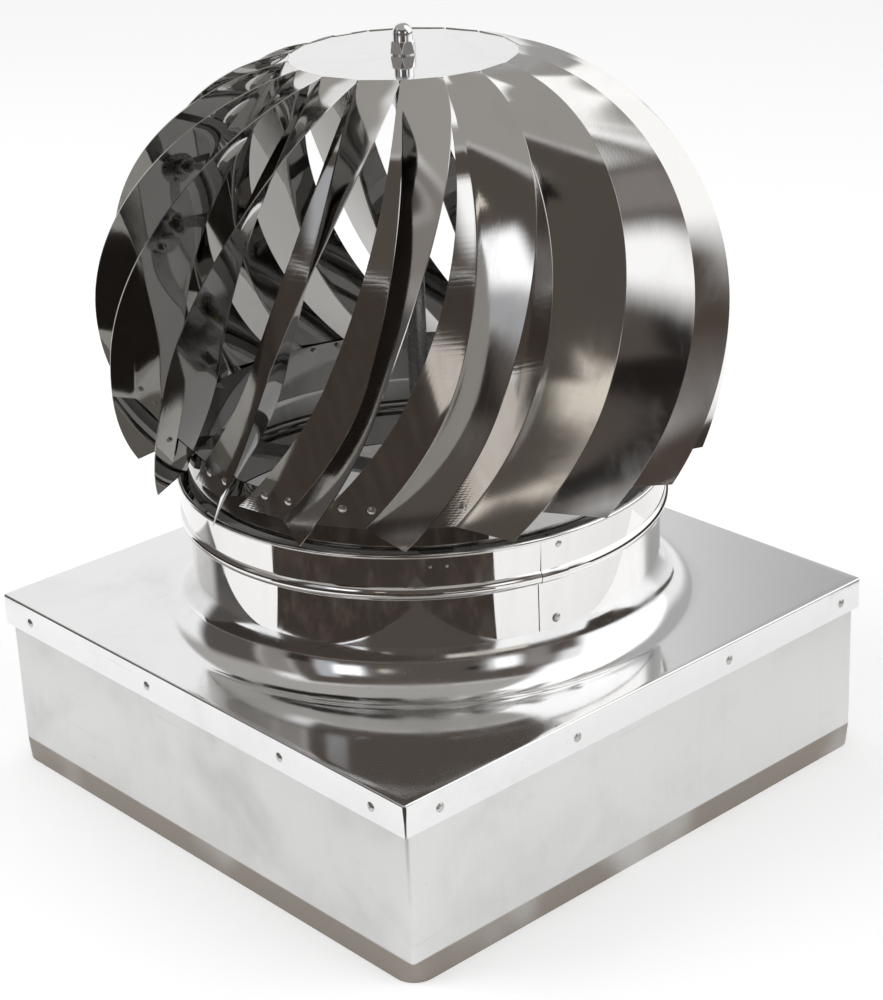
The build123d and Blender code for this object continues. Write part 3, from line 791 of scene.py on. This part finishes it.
# ---- rotor
@dataclass
class Blade:
    """Folded blade: an outer fin, a crisp fold and an inner panel riveted to the ring."""

    count: int = 18
    sheet: float = 0.8 * MM
    crown_top: float = 593.3 * MM
    waist: float = 397.0 * MM
    root_radius: float = 88.0 * MM
    relief: float = 1.6 * MM
    edge_radius: float = 248.0 * MM
    tip_radius: float = 225.5 * MM
    tip_height: float = 284.0 * MM
    fold_radius: float = 186.0 * MM
    foot_radius: float = 191.0 * MM
    foot_height: float = 286.0 * MM
    edge_upper: Triple = (22.0, 9.4, -3.2)      # azimuths, downwards
    edge_lower: Triple = (-3.2, -10.0, -20.0)
    fold_upper: Triple = (2.0, 0.6, -7.2)
    fold_lower: Triple = (-7.2, -15.6, -29.4)
    width_upper: Triple = (1.0, 15.0, 31.0)     # panel, in mm
    width_lower: Triple = (31.0, 38.0, 44.0)
    root_width: float = 0.6 * MM
    fold_bend: float = 1.2 * MM
    rows: int = 56

    def build(self, finisher: Finisher) -> None:
        """Builds the first blade and turns a copy of its points into each place."""
        outer, inner = self._first()
        for index in range(self.count):
            turn = 2 * math.pi * index / self.count
            spin = np.array([[math.cos(turn), math.sin(turn), 0],
                             [-math.sin(turn), math.cos(turn), 0], [0, 0, 1]])
            piece = sheet_solid(f"folded_blade_{index + 1:02d}", outer @ spin, inner @ spin)
            mark_outward(piece, np.repeat([0.0, 1.0], outer.shape[1]))
            finisher.place(piece, Finish.blade_sheet, "rotor", f"blade_{index + 1:02d}")

    @staticmethod
    def _through(t: Array, first: float, middle: float, last: float) -> Array:
        """Parabola with three given values at t = 0, 1/2 and 1."""
        return first * (1 - t) * (1 - 2 * t) + 4 * middle * t * (1 - t) + last * t * (2 * t - 1)

    def _bend(self, t: Array, top_radius: float, top: float, waist_radius: float) -> tuple:
        """Radius and height along the arc from the crown that ends upright at the waist.

        The arc's centre is level with the waist. Its radius is (rise^2 + reach^2) / 2 reach,
        and t turns it evenly from its start angle to none.
        """
        rise = top - self.waist
        reach = waist_radius - top_radius
        size = (rise ** 2 + reach ** 2) / (2 * reach)
        start = math.asin(rise / size)
        if reach > size:
            start = math.pi - start
        angle = start * (1 - t)
        return waist_radius - size * (1 - np.cos(angle)), self.waist + size * np.sin(angle)

    def _upper(self, t: Array) -> Lines:
        """Edge, fold and panel end of the sections from the crown (0) to the waist (1)."""
        radius, height = self._bend(t, self.root_radius, self.crown_top, self.edge_radius)
        edge = polar(radius, self._through(t, *self.edge_upper), height)
        radius, height = self._bend(t, self.root_radius, self.crown_top, self.fold_radius)
        azimuth = self._through(t, *self.fold_upper)
        width = self._through(t, *self.width_upper) * MM
        return (edge, polar(radius, azimuth, height),
                self._panel_end(radius, azimuth, width, height))

    def _lower(self, t: Array) -> Lines:
        """Edge, fold and panel end of the sections from the waist (0) to the foot (1)."""
        radius, height = self._bend(1 - t, self.tip_radius, self.tip_height, self.edge_radius)
        edge = polar(radius, self._through(t, *self.edge_lower), height)
        growth = t * t * (3 - 2 * t)
        radius = self.fold_radius + (self.foot_radius - self.fold_radius) * growth
        height = self.waist + (self.foot_height - self.waist) * t
        azimuth = self._through(t, *self.fold_lower)
        width = self._through(t, *self.width_lower) * MM
        return (edge, polar(radius, azimuth, height),
                self._panel_end(radius, azimuth, width, height))

    @staticmethod
    def _panel_end(radius: Array, azimuth: Array, width: Array, height: Array) -> Array:
        """Inner panel's free edge: the fold moved back by the panel's width along its arc."""
        return polar(radius, azimuth - np.degrees(width / radius), height)

    def _first(self) -> tuple[Array, Array]:
        """Outer and inner grids of the first blade, sections from the crown to the foot.

        Each section is a straight panel, a small round bend and a straight fin. The bend is
        the quadratic curve between two points near the fold with the fold as its control.
        The inner grid lies one sheet away along the section's own normal.
        """
        t_upper = np.linspace(0.02, 1, self.rows)
        t_lower = np.linspace(0, 1, self.rows)[1:]
        parts = zip(self._upper(t_upper), self._lower(t_lower))
        edge, fold, end = (np.concatenate(pair) for pair in parts)
        root = self._root()
        edge, fold, end = (np.concatenate([first[None], rest])
                           for first, rest in zip(root, (edge, fold, end)))
        section = self._section(edge, fold, end)
        across = np.gradient(section, axis=1)
        along = np.gradient(section, axis=0)
        normal = unit(np.cross(along, across))
        return section, section + normal * self.sheet

    def _root(self) -> Lines:
        """Blade's root line along the crown's chord, short of both relief holes."""
        start, end = (polar(np.array(self.root_radius), np.array(azimuth),
                            np.array(self.crown_top))
                      for azimuth in (self.fold_upper[0], self.edge_upper[0]))
        chord = unit(end - start)
        return (end - chord * self.relief, start + chord * self.relief,
                start + chord * self.root_width)

    def _section(self, edge: Array, fold: Array, end: Array) -> Array:
        """Points across each section, from the panel's free edge to the fin's free edge."""
        panel_length = np.linalg.norm(end - fold, axis=-1, keepdims=True)
        bend = np.minimum(self.fold_bend, panel_length * 0.4)
        before = fold + unit(end - fold) * bend
        after = fold + unit(edge - fold) * bend
        panel_share = np.linspace(0, 1, 9)[None, :, None]
        fin_share = np.linspace(0, 1, 17)[None, :, None]
        turn = np.linspace(0, 1, 7)[1:-1][None, :, None]
        panel = end[:, None] * (1 - panel_share) + before[:, None] * panel_share
        curve = (before[:, None] * (1 - turn) ** 2 + fold[:, None] * 2 * turn * (1 - turn)
                 + after[:, None] * turn ** 2)
        fin = after[:, None] * (1 - fin_share) + edge[:, None] * fin_share
        return np.concatenate([panel, curve, fin], axis=1)


@dataclass
class RotorRing:
    """Rolled ring inside the blades' feet."""

    sheet: float = 1.0 * MM

    def build(self, finisher: Finisher) -> None:
        """Builds the ring from the outline that the frame gives."""
        low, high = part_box("rotor_ring")
        outer = high.x
        section = np.array([[outer, low.z], [outer, high.z], [outer - self.sheet, high.z],
                            [outer - self.sheet, low.z]])
        azimuth = np.linspace(0, 360, 361)[:-1]
        loops = polar(section[None, :, 0], azimuth[:, None], section[None, :, 1])
        finisher.place(ring_solid("rotor_foot_ring", loops), Finish.ring_sheet, "rotor",
                       "rotor_ring")


@dataclass
class CapNut:
    """Domed nut on the crown: chamfered hexagon, neck and dome."""

    across: float = 18.0 * MM
    hexagon: float = 9.5 * MM
    height: float = 22.5 * MM
    dome: float = 7.6 * MM
    turn: float = 57.0
    steps: int = 240
    dome_rows: int = 21

    def build(self, finisher: Finisher) -> None:
        """Builds the nut on the seat that the frame gives.

        Below the hexagon's top the radius is the lesser of the hexagon's, half the width
        over the cosine of the angle from the nearest flat, and the chamfer cone's. Above it
        the radius is the dome's, a straight neck and a half sphere.
        """
        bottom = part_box("crown_cap_nut")[0].z
        dome = self.dome
        azimuth = np.linspace(0, 360, self.steps + 1)[:-1]
        offset = np.radians((azimuth - self.turn) % 60 - 30)
        flat = self.across / 2 / np.cos(offset)
        rise = np.linspace(0, self.hexagon, 17)
        cone = self.across * (0.585 - 0.42 * rise / self.height * 0.35)
        cone = np.minimum(cone, self.across * 0.5 + (self.hexagon - rise) * 1.7 + 0.1 * MM)
        prism = np.minimum(flat[None, :], cone[:, None])
        straight = np.array([self.hexagon, self.height - dome])
        polar_angle = np.radians(np.linspace(0, 89, self.dome_rows + 1)[1:])
        neck = np.full((2, self.steps), dome)
        cap = np.broadcast_to((dome * np.cos(polar_angle))[:, None],
                              (self.dome_rows, self.steps))
        radius = np.concatenate([prism, neck, cap])
        height = np.concatenate([rise, straight, self.height - dome + dome * np.sin(polar_angle)])
        piece = turned_solid("crown_domed_nut", radius, bottom + height, azimuth)
        finisher.place(piece, Finish.cap_nut_chrome, "rotor", "crown_cap_nut")


class FramePieces:
    """CAD nodes that show as they are, each in the finish of its slot."""

    def build(self, finisher: Finisher) -> None:
        """Dresses every node that no other piece stands for."""
        slots = {part["node"]: part["material_slot"] for part in frame["record"]["subparts"]}
        for name, node in frame["nodes"].items():
            if not node.hide_render:
                finisher.dress(node, Finish[slots[name]])
                LOG.info("%s: %s", name, slots[name])


# ---- studio
@dataclass(frozen=True)
class Patch:
    """Soft-edged patch of the surroundings, in degrees from the camera's side and the level."""

    left: float
    right: float
    low: float
    high: float
    tone: Triple
    soft: float = 5.0


@dataclass(frozen=True)
class GroundCard:
    """Flat sector of ground that only reflections see."""

    name: str
    start: float
    sweep: float
    near: float
    far: float
    tone: Triple
    height: float = 0.004


@dataclass
class Studio:
    """Pale floor, soft lamps and the surroundings that the polished sheet mirrors."""

    floor_size: float = 9.0
    floor_tone: Triple = (0.88, 0.88, 0.88)
    floor_lift: float = 0.30
    dome_radius: float = 7.5
    camera_bearing: float = -41.1
    dome_bend: float = 3.0          # degrees between the bend's two ends
    back_tone: Triple = (0.95, 0.95, 0.95)
    patches: tuple[Patch, ...] = (
        Patch(-400, 400, 44, 95, (0.41, 0.395, 0.375), 5),
        Patch(-150, -80, 26, 62, (0.41, 0.395, 0.375), 6),
        Patch(-125, -84, -40, 30, (0.10, 0.09, 0.085), 5),
        Patch(-84, -66, -40, 34, (0.27, 0.25, 0.235), 4),
        Patch(-66, 60, -40, 43, (0.10, 0.085, 0.075), 3),
        Patch(-68, -56, -5, 10.3, (0.030, 0.024, 0.020), 1.5),
        Patch(-54, -43, 4, 30, (0.47, 0.48, 0.50), 2),
        Patch(-45, -31.5, 8, 24, (1.50, 1.52, 1.56), 2.5),
        Patch(-23.2, -18.5, 12, 17.6, (0.95, 0.88, 0.78), 1),
        Patch(26, 40, 4, 22, (1.35, 1.36, 1.38), 4),
        Patch(44, 57, -5, 27, (0.27, 0.25, 0.24), 3),
        Patch(54, 128, 31, 72, (1.40, 1.40, 1.40), 4),
        Patch(54, 70, -5, 14, (0.085, 0.066, 0.056), 3),
        Patch(73.5, 132, 2, 40, (1.35, 1.35, 1.35), 2.5),
        Patch(15.5, 23.5, 12.8, 18.5, (0.012, 0.010, 0.009), 1.2),
        Patch(132, 172, 18, 50, (0.45, 0.45, 0.45), 8),
    )
    ground: tuple[GroundCard, ...] = (
        GroundCard("front_ground", -62, 92, 0.54, 6.5, (0.050, 0.040, 0.034)),
        GroundCard("left_ground", -118, 56, 0.74, 6.5, (0.035, 0.029, 0.025)),
        GroundCard("right_ground", 30, 44, 1.2, 6.5, (0.060, 0.048, 0.040)),
        GroundCard("side_ground", 74, 80, 0.72, 6.5, (0.045, 0.036, 0.030)),
        GroundCard("pale_mat", 10, 36, 1.0, 1.75, (0.62, 0.56, 0.50), 0.006),
    )

    def build(self) -> None:
        """Builds the floor, the surroundings, the lamps and the sky."""
        self._floor()
        for card in self.ground:
            self._ground_card(card)
        self._dome()
        self._lamp("key_lamp", (-1.6, -1.9, 2.6), 2.2, 36.0)
        self._lamp("fill_lamp", (2.4, 1.2, 2.4), 2.4, 24.0)
        self._sky()

    def _floor(self) -> None:
        """Round pale floor that keeps the object's shadow and stays pale in the metal."""
        radius = np.array([0.0001, self.floor_size / 2, self.floor_size])
        floor = self._sector("studio_floor", radius, 0.0, 360.0, 0.0)
        material, graph = new_material("pale_floor")
        patch = graph.noise(graph.coordinates(), 1.2, 2.0)
        tone = tuple(part * 0.985 for part in self.floor_tone)
        colour = graph.mix(patch, rgba(self.floor_tone), rgba(tone))
        matt = graph.node("ShaderNodeBsdfDiffuse", {}, {"Color": colour})
        seen = graph.shown_directly()
        glow = graph.node("ShaderNodeEmission", {},
                          {"Color": (1, 1, 1, 1), "Strength": seen * self.floor_lift})
        both = graph.node("ShaderNodeAddShader", {}, {0: matt, 1: glow})
        graph.node("ShaderNodeOutputMaterial", {}, {"Surface": both})
        floor.data.materials.append(material)

    @staticmethod
    def _stage_mesh(name: str, points: Array) -> Piece:
        """Open grid of points as a stage object."""
        rows, cols = points.shape[:2]
        mesh = bpy.data.meshes.new(name)
        quads = grid_quads(rows, cols, False, False)
        mesh.from_pydata(points.reshape(-1, 3).tolist(), [], quads.tolist())
        mesh.shade_smooth()
        return add_object(name, mesh)

    def _sector(self, name: str, radius: Array, start: float, sweep: float,
                height: float) -> Piece:
        """Flat ring or sector: a grid of radii and azimuths at one height."""
        azimuth = start + np.linspace(0, sweep, 97)
        return self._stage_mesh(name, polar(radius[:, None], azimuth[None, :], np.array(height)))

    def _ground_card(self, card: GroundCard) -> None:
        """Speckled sector of ground round the pale floor."""
        radius = np.linspace(card.near, card.far, 9)
        piece = self._sector(card.name, radius, card.start, card.sweep, card.height)
        material, graph = new_material(card.name)
        speck = graph.mask(graph.noise(graph.coordinates(), 14.0, 5.0, 0.7), 0.42, 0.8)
        light = tuple(min(1.0, part * 2.2) for part in card.tone)
        self._card(piece, material, graph, graph.mix(speck, rgba(card.tone), rgba(light)))

    def _dome(self) -> None:
        """Round shell of surroundings: even at the back, with the patches laid over it.

        A point's bearing is the arc tangent of y over x, its elevation the arc sine of its
        height over the shell's radius, and slow noise bends both by a degree or so.
        """
        azimuth = np.linspace(-180, 180, 145)
        elevation = np.radians(np.linspace(-2, 90, 47))[:, None]
        points = polar(self.dome_radius * np.cos(elevation), azimuth[None, :],
                       self.dome_radius * np.sin(elevation))
        shell = self._stage_mesh("surroundings", points)
        material, graph = new_material("surroundings")
        turn = -math.radians(self.camera_bearing)
        place = graph.coordinates((1, 1, 1), turn)
        parts = [graph.along(place, axis) for axis in "XYZ"]
        bend = (graph.noise(place, 0.35, 3.0, 0.5) - 0.5) * self.dome_bend
        degrees = 180 / math.pi
        bearing = graph.function("ARCTAN2", parts[1], parts[0]) * degrees + bend
        height = graph.function("ARCSINE", parts[2] / self.dome_radius) * degrees + bend
        colour = rgba(self.back_tone)
        for patch in self.patches:
            inside = (self._between(graph, bearing, patch.left, patch.right, patch.soft)
                      * self._between(graph, height, patch.low, patch.high, patch.soft))
            colour = graph.mix(inside, colour, rgba(patch.tone))
        self._card(shell, material, graph, colour)

    @staticmethod
    def _between(graph: Graph, value: Socket, low: float, high: float, soft: float) -> Socket:
        """1 between two bounds, falling softly to 0 outside them."""
        return graph.mask(value, low - soft, low + soft) - graph.mask(value, high - soft,
                                                                      high + soft)

    @staticmethod
    def _card(piece: Piece, material: Material, graph: Graph,
              colour: Socket) -> None:
        """Gives a card its own steady colour and hides it from all but reflections."""
        shader = graph.node("ShaderNodeEmission", {}, {"Color": colour, "Strength": 1.0})
        graph.node("ShaderNodeOutputMaterial", {}, {"Surface": shader})
        piece.data.materials.append(material)
        piece.visible_camera = False
        piece.visible_diffuse = False
        piece.visible_shadow = False
        piece.visible_transmission = False

    @staticmethod
    def _lamp(name: str, place: Triple, size: float, power: float) -> None:
        """Square soft lamp that looks at the rotor and leaves no mark in the mirror finish."""
        lamp = bpy.data.lights.new(name, "AREA")
        lamp.size = size
        lamp.energy = power
        item = add_object(name, lamp)
        item.location = place
        item.visible_glossy = False
        direction = Vector((0.0, 0.0, 0.3)) - Vector(place)
        item.rotation_euler = direction.to_track_quat("-Z", "Y").to_euler()

    @staticmethod
    def _sky() -> None:
        """Even pale sky: white to the eye and in the metal, softer as light."""
        world = bpy.data.worlds.new("studio_sky")
        world.use_nodes = True
        graph = Graph(world.node_tree)
        strength = 0.62 + graph.shown_directly() * 0.38
        sky = graph.node("ShaderNodeBackground", {}, {"Color": (1, 1, 1, 1), "Strength": strength})
        graph.node("ShaderNodeOutputWorld", {}, {"Surface": sky})
        bpy.context.scene.world = world


@dataclass
class Viewpoint:
    """Camera by its place, bearing, pitch and roll, with its focal length in image pixels."""

    place: Triple = (1.3552, -1.1820, 1.0013)
    bearing: float = 137.65
    pitch: float = 22.28
    roll: float = -2.23
    focal_pixels: float = 2414.9
    image_width: int = 883
    image_height: int = 1000
    middle: tuple[float, float] = (471.4, 454.9)
    sensor: float = 36.0

    def build(self) -> None:
        """Adds the camera and makes it the scene's own."""
        bearing, pitch, roll = (math.radians(a) for a in (self.bearing, self.pitch, self.roll))
        forward = Vector((math.cos(pitch) * math.cos(bearing),
                          math.cos(pitch) * math.sin(bearing), -math.sin(pitch)))
        level = forward.cross(Vector((0, 0, 1))).normalized()
        rise = level.cross(forward)
        right = level * math.cos(roll) + rise * math.sin(roll)
        up = rise * math.cos(roll) - level * math.sin(roll)
        lens = bpy.data.cameras.new("viewpoint")
        lens.sensor_fit = "HORIZONTAL"
        lens.sensor_width = self.sensor
        lens.lens = self.focal_pixels * self.sensor / self.image_width
        lens.shift_x = (self.image_width / 2 - self.middle[0]) / self.image_width
        lens.shift_y = (self.middle[1] - self.image_height / 2) / self.image_width
        camera = add_object("viewpoint", lens)
        turn = Matrix((right, up, -forward)).transposed().to_4x4()
        camera.matrix_world = Matrix.Translation(Vector(self.place)) @ turn
        bpy.context.scene.camera = camera


def main() -> None:
    """Builds every piece, the studio and the camera."""
    logging.basicConfig(level=logging.INFO, format="%(message)s")
    bpy.context.scene.view_settings.view_transform = "Standard"
    finisher = Finisher()
    for assembly in (CurbBox(), CurbCover(), NeckCollar(), Blade(), RotorRing(), CapNut(),
                     FramePieces()):
        assembly.build(finisher)
    Studio().build()
    Viewpoint().build()


if __name__ == "__main__":
    main()
